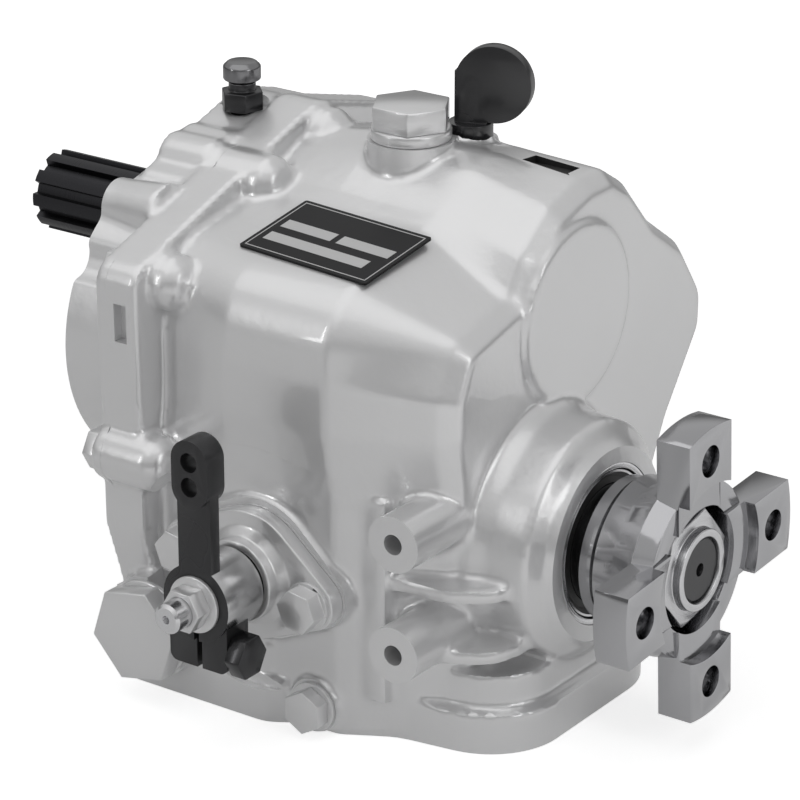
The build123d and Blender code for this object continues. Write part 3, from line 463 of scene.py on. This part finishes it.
coupling_steel = turned_metal("coupling_steel", (0.36, 0.36, 0.37), 0.12, output_axis)
nut_steel = turned_metal("nut_steel", (0.52, 0.52, 0.53), 0.24, output_axis)
shaft_black = turned_metal("blackened_shaft", (0.035, 0.035, 0.038), 0.34, input_axis)
gear_steel = turned_metal("gear_steel", (0.50, 0.50, 0.51), 0.28, output_axis)
bearing_steel = turned_metal("bearing_steel", (0.66, 0.66, 0.67), 0.15, output_axis)
bronze = turned_metal("bronze", (0.60, 0.42, 0.20), 0.30, output_axis)


def plain_finish(name, colour, metallic, roughness, coat=0.0, depth=0.2):
    """A finish that uses mostly the fine part of the ripple."""
    material, shader = finish_of(name, colour, metallic, roughness, coat)
    skin = placed_group(material, ripple, Swell=0.1, Peel=1.0)
    bumped(material, shader, skin.outputs["Height"], depth, 0.3)
    mottled(material, shader, skin.outputs["Shade"], "Roughness", roughness * 0.85,
            roughness * 1.2)
    return material


# %% Finishes of the smaller pieces
lever_black = plain_finish("lever_black", (0.045, 0.045, 0.047), 0.6, 0.30)
hub_steel = plain_finish("hub_steel", (0.48, 0.48, 0.485), 1.0, 0.24)
dark_steel = plain_finish("dark_steel", (0.05, 0.05, 0.052), 0.8, 0.25)
breather_steel = plain_finish("breather_steel", (0.20, 0.20, 0.205), 1.0, 0.2)
bright_steel = plain_finish("bright_steel", (0.62, 0.62, 0.63), 1.0, 0.26)
rubber = plain_finish("seal_rubber", (0.012, 0.012, 0.012), 0.0, 0.45)
black_plastic = plain_finish("black_plastic", (0.018, 0.018, 0.02), 0.0, 0.32, 0.3)
enamel = plain_finish("plate_enamel", (0.010, 0.010, 0.011), 0.0, 0.34)
enamel.node_tree.nodes["Principled BSDF"].inputs["Specular IOR Level"].default_value = 0.16
field_white = plain_finish("plate_field", (0.62, 0.62, 0.62), 0.4, 0.35)
slot_black = plain_finish("slot_black", (0.01, 0.01, 0.01), 0.0, 0.6)


# %% [markdown]
# Every solid that keeps its own mesh gets a finish in its material slots.

# %% Helpers: dress solids and new pieces
def dress(material, *nodes):
    """Put one finish into every material slot of some solids."""
    for node in nodes:
        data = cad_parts[node].data
        if not data.materials:
            data.materials.append(material)
        for i in range(len(data.materials)):
            data.materials[i] = material


def dress_new(piece, material, body, slot, *nodes):
    """Give a new piece its finish, its body and the solids it stands for."""
    piece.data.materials.clear()
    piece.data.materials.append(material)
    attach(piece, body)
    if nodes:
        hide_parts(*nodes)


def recolour(piece, material, low, high):
    """Give the faces whose middles lie in a box a further finish."""
    piece.data.materials.append(material)
    index = len(piece.data.materials) - 1
    count = 0
    for face in piece.data.polygons:
        spot = face.center / mm
        if all(low[i] <= spot[i] <= high[i] for i in range(3)):
            face.material_index = index
            count += 1
    return count


# %% Dress the castings and the solids that stay
dress_new(case, paint, "case", "casting_paint", "main_case")
crown_slot_inside = ((118.9, 26.9, 61), (136.1, 35.1, 64.4))
print("slot faces", recolour(case, slot_black, *crown_slot_inside))
dress_new(housing, paint, "case", "casting_paint", "front_housing")
dress(gear_steel, "forward_gear", "reverse_gear", "idler_gear", "clutch_sleeve",
      "idler_axle", "dowel_pins")
dress(shaft_black, "input_shaft")
dress(dark_steel, "output_shaft")
dress(bearing_steel, "idler_clip", *[
    f"{end}_bearing_{part}" for end in ("input_front", "input_rear", "output_front",
                                        "output_rear")
    for part in ("inner_ring", "outer_ring", "rollers")
])
dress(bronze, "forward_gear_bush", "reverse_gear_bush", "idler_bush", "shift_shoe",
      "forward_thrust_washer", "reverse_thrust_washer", "idler_thrust_washers")
dress(bright_steel, "shift_shaft", "dipstick_rod")
dress(rubber, "output_seal", "input_seal", "shift_shaft_seal")
dress(paint, "joint_gasket", "shift_cover_gasket")
dress(enamel, "data_plate")

# %% [markdown]
# Forged, sawn and cast edges are never perfectly sharp, and it is the narrow rounding
# that catches the light. These pieces are copies of their solids with a small bevel on
# every edge that turns more than 30 degrees.

# %% Helper: a copy with rounded edges
def rounded_copy(node, material, body, slot, width):
    """A copy of a solid with a narrow bevel, which takes the solid's place."""
    shape = copy_of(node)
    bmesh.ops.dissolve_limit(
        shape, angle_limit=math.radians(1), verts=shape.verts, edges=shape.edges
    )
    piece = as_piece(node + "_rounded", shape)
    bevel = piece.modifiers.new("bevel", "BEVEL")
    bevel.width = width * mm
    bevel.segments = 2
    bevel.limit_method = "ANGLE"
    bevel.angle_limit = math.radians(30)
    apply_modifiers(piece)
    shade(piece, 40)
    dress_new(piece, material, body, slot, node)
    return piece


# %% Round the edges of the outside pieces
outside = [
    ("shift_cover", paint, "case", "casting_paint", 0.8),
    ("shift_cover_bolts", paint, "case", "painted_steel", 0.5),
    ("case_bolts", paint, "case", "painted_steel", 0.5),
    ("filler_plug", paint, "case", "painted_steel", 0.9),
    ("filler_washer", paint, "case", "washer_aluminium", 0.7),
    ("side_plug", paint, "case", "painted_steel", 1.0),
    ("side_plug_washer", paint, "case", "washer_aluminium", 0.5),
    ("drain_plug", paint, "case", "painted_steel", 0.5),
    ("drain_washer", paint, "case", "washer_aluminium", 0.3),
    ("breather", dark_steel, "case", "dark_steel", 0.4),
    ("lever_nut", paint, "lever_group", "painted_steel", 0.5),
    ("lever_washer", paint, "lever_group", "painted_steel", 0.3),
    ("shift_lever", lever_black, "lever_group", "lever_steel", 0.7),
    ("lever_pinch_bolt", dark_steel, "lever_group", "dark_steel", 0.5),
    ("output_coupling", coupling_steel, "output_group", "coupling_steel", 0.7),
    ("coupling_nut", nut_steel, "output_group", "coupling_steel", 0.4),
    ("dipstick_cap", black_plastic, "dipstick", "black_plastic", 0.8),
]
rounded = {}
for node, material, body, slot, width in outside:
    rounded[node] = rounded_copy(node, material, body, slot, width)
    print(node, triangles(rounded[node]), "triangles")
hub_barrel = ((66, -92, -70), (94, -78, -43.4))
breather_cap = ((5, 10, 74), (20, 25, 90))
print("hub faces", recolour(rounded["shift_lever"], hub_steel, *hub_barrel))
print("cap faces", recolour(rounded["breather"], breather_steel, *breather_cap))

# %% [markdown]
# The data plate is black enamel with a thin bare frame and three blank fields to write
# in, laid out on the plate's own turned and tilted plane.

# %% The plate's frame and fields
fields = bmesh.new()
plate_middle = Vector((86, -30, 45.7))
plate_tilt = math.atan(0.2)
plate_turn = math.radians(-4.7)
field_bottom, field_top = 0.75, 0.84
plate_plane = (
    Matrix.Translation(plate_middle * mm)
    @ Matrix.Rotation(plate_tilt, 4, "X") @ Matrix.Rotation(plate_turn, 4, "Z")
)
strips = [
    (-25.2, -15.2, 25.2, -14.8), (-25.2, 14.8, 25.2, 15.2), (-25.2, -15.2, -24.8, 15.2),
    (24.8, -15.2, 25.2, 15.2), (-22.5, -1.0, -1.5, 3.8), (1.0, -1.0, 22.5, 3.8),
    (-22.5, -9.6, 19.0, -4.8),
]
for left, low, right, high in strips:
    points = block(fields, (left, low, field_bottom), (right, high, field_top))
    bmesh.ops.transform(fields, matrix=plate_plane, verts=points)
plate_fields = as_piece("plate_fields", fields)
dress_new(plate_fields, field_white, "case", "plate_black")
print("plate fields", triangles(plate_fields))

# %% [markdown]
# A lip seal is rubber in a pressed sheet metal case. Two turned rings stand for the rim of
# that case and for its inner fold, and the rubber of the solid shows between them.

# %% The output seal's sheet metal rings
seal_rim = [(0, 25.0), (0, 26.9), (2.3, 26.9), (2.5, 26.5), (2.5, 25.6), (2.2, 25.0)]
seal_fold = [(0, 23.6), (0, 24.3), (1.6, 24.3), (1.6, 23.6)]
seal_ring = bmesh.new()
for profile in (seal_rim, seal_fold):
    lathe(seal_ring, (169.0, *output_axis), AFT, profile)
seal_case = as_piece("seal_case", seal_ring)
shade(seal_case)
dress_new(seal_case, bright_steel, "case", "seal_rubber")
print("seal case", triangles(seal_case))

# %% [markdown]
# ## Floor, light and camera
# A plain pale floor and a white background, lit by large soft lamps. The background is
# white to the camera and in reflections, while the light that the world sheds on the
# object stays low, so that the pale paint keeps its shading.

# %% Helpers: a smooth range, and what the camera sees directly
def spread_node(tree, value, low, high, first, last):
    """Carry a number from one range over to another, smoothly."""
    spread = tree.nodes.new("ShaderNodeMapRange")
    spread.interpolation_type = "SMOOTHSTEP"
    limits = {"From Min": low, "From Max": high, "To Min": first, "To Max": last}
    for label, number in limits.items():
        spread.inputs[label].default_value = number
    tree.links.new(value, spread.inputs["Value"])
    return spread.outputs[0]


def light_paths(tree):
    """1 for rays straight from the camera or through glass, and 1 for mirrored rays."""
    path = tree.nodes.new("ShaderNodeLightPath")
    seen = math_node(tree, "MAXIMUM", path.outputs["Is Camera Ray"],
                     path.outputs["Is Transmission Ray"])
    return seen, path.outputs["Is Glossy Ray"]


# %% The floor's plane
floor_shape = bmesh.new()
bmesh.ops.create_grid(floor_shape, x_segments=1, y_segments=1, size=6,
                      matrix=Matrix.Translation((0, 0, (foot_z - 0.1) * mm)))
floor = as_piece("floor", floor_shape)
floor_paint, floor_shader = finish_of("floor_white", (0.85, 0.85, 0.85), 0.0, 0.7)
floor.data.materials.append(floor_paint)
print("floor at", foot_z - 0.1, "mm")

# %% [markdown]
# The floor sheds its own light only on the camera and in mirror images. Near the object
# that light is a little under white, so that the shadow still shows; farther out it is
# full white. Mirror images find the floor brighter aft than ahead, which lights the rear
# wall and leaves the port wall darker.

# %% The floor's glow
near_glow, far_glow = 0.68, 1.0
ahead_glow, aft_glow = 0.15, 0.6
tree = floor_paint.node_tree
spot = tree.nodes.new("ShaderNodeTexCoord").outputs["Object"]
apart = tree.nodes.new("ShaderNodeSeparateXYZ")
tree.links.new(spot, apart.inputs[0])
across = math_node(tree, "MULTIPLY", apart.outputs["X"], apart.outputs["X"])
along = math_node(tree, "MULTIPLY", apart.outputs["Y"], apart.outputs["Y"])
far = math_node(tree, "SQRT", math_node(tree, "ADD", across, along), 0.0)
seen, mirrored = light_paths(tree)
seen = math_node(tree, "MULTIPLY", seen, spread_node(tree, far, 0.25, 0.9, near_glow, far_glow))
shine = math_node(tree, "MULTIPLY", mirrored,
                  spread_node(tree, apart.outputs["X"], 0.0, 0.45, ahead_glow, aft_glow))
glow = tree.nodes.new("ShaderNodeEmission")
tree.links.new(math_node(tree, "MAXIMUM", seen, shine), glow.inputs["Strength"])
joined = tree.nodes.new("ShaderNodeAddShader")
tree.links.new(floor_shader.outputs[0], joined.inputs[0])
tree.links.new(glow.outputs[0], joined.inputs[1])
tree.links.new(joined.outputs[0], tree.nodes["Material Output"].inputs["Surface"])
print("floor nodes", len(tree.nodes))

# %% The studio air
air_light = 0.2
horizon_shine, zenith_shine = 0.08, 0.74
world = bpy.data.worlds.new("studio")
bpy.context.scene.world = world
world.use_nodes = True
tree = world.node_tree
air = tree.nodes["Background"]
seen, mirrored = light_paths(tree)
look = tree.nodes.new("ShaderNodeSeparateXYZ")
tree.links.new(tree.nodes.new("ShaderNodeTexCoord").outputs["Generated"], look.inputs[0])
rise = spread_node(tree, look.outputs["Z"], 0.02, 0.50, horizon_shine, zenith_shine)
shine = math_node(tree, "MULTIPLY", mirrored, rise)
air.inputs["Color"].default_value = (1, 1, 1, 1)
strength = math_node(tree, "MAXIMUM", seen, math_node(tree, "MAXIMUM", shine, air_light))
tree.links.new(strength, air.inputs["Strength"])
print("world nodes", len(tree.nodes))

# %% [markdown]
# Three lamps: a wide one overhead for the even light of the deck, a narrow strip on the
# port side that draws sharp streaks on the gloss, and a small one aft for the rear wall.

# %% The lamps
def lamp(name, place, aim, size, watts):
    """A flat soft lamp that looks at a point."""
    data = bpy.data.lights.new(name, "AREA")
    data.shape = "RECTANGLE"
    data.size, data.size_y = size
    data.energy = watts
    light = bpy.data.objects.new(name, data)
    light.location = place
    direction = Vector(aim) - Vector(place)
    light.rotation_euler = direction.to_track_quat("-Z", "Y").to_euler()
    bpy.context.scene.collection.objects.link(light)
    print(name, watts, "W")


middle = (0.08, 0, -0.03)
lamp("top_lamp", (0.0, -0.2, 0.95), middle, (1.4, 1.1), 3.4)
lamp("port_lamp", (-0.45, -0.95, 0.35), middle, (0.07, 0.5), 1.0)
lamp("aft_lamp", (1.0, -0.15, 0.40), middle, (0.3, 0.6), 1.2)

# %% [markdown]
# The camera stands aft and to port of the unit and looks down 22 degrees, through a long
# lens, as in a catalogue picture. Its place was fitted on the coupling's holes.

# %% The camera
picture_width, sensor_width = 800, 36.0
azimuth, elevation = math.radians(35.494), math.radians(22.0)
back = Vector((math.sin(azimuth) * math.cos(elevation),
               -math.cos(azimuth) * math.cos(elevation), math.sin(elevation)))
right = Vector((math.cos(azimuth), math.sin(azimuth), 0))
above = back.cross(right)
distance, zoom = 1133.25, 3600.0
coupling_pixel = (710.80, 572.91)
aim_right = (coupling_pixel[0] - picture_width / 2) / zoom
aim_up = -(coupling_pixel[1] - picture_width / 2) / zoom
sight = right * aim_right + above * aim_up - back
eye = Vector((210, *output_axis)) - sight * distance
camera_data = bpy.data.cameras.new("camera")
camera_data.sensor_width = sensor_width
camera_data.lens = sensor_width * zoom / picture_width
camera_data.clip_start = 0.05
camera = bpy.data.objects.new("camera", camera_data)
turn = Matrix((right, above, back)).transposed().to_4x4()
camera.matrix_world = Matrix.Translation(eye * mm) @ turn
bpy.context.scene.collection.objects.link(camera)
bpy.context.scene.camera = camera
bpy.context.scene.view_settings.view_transform = "Standard"
print("camera lens", camera_data.lens, "mm")
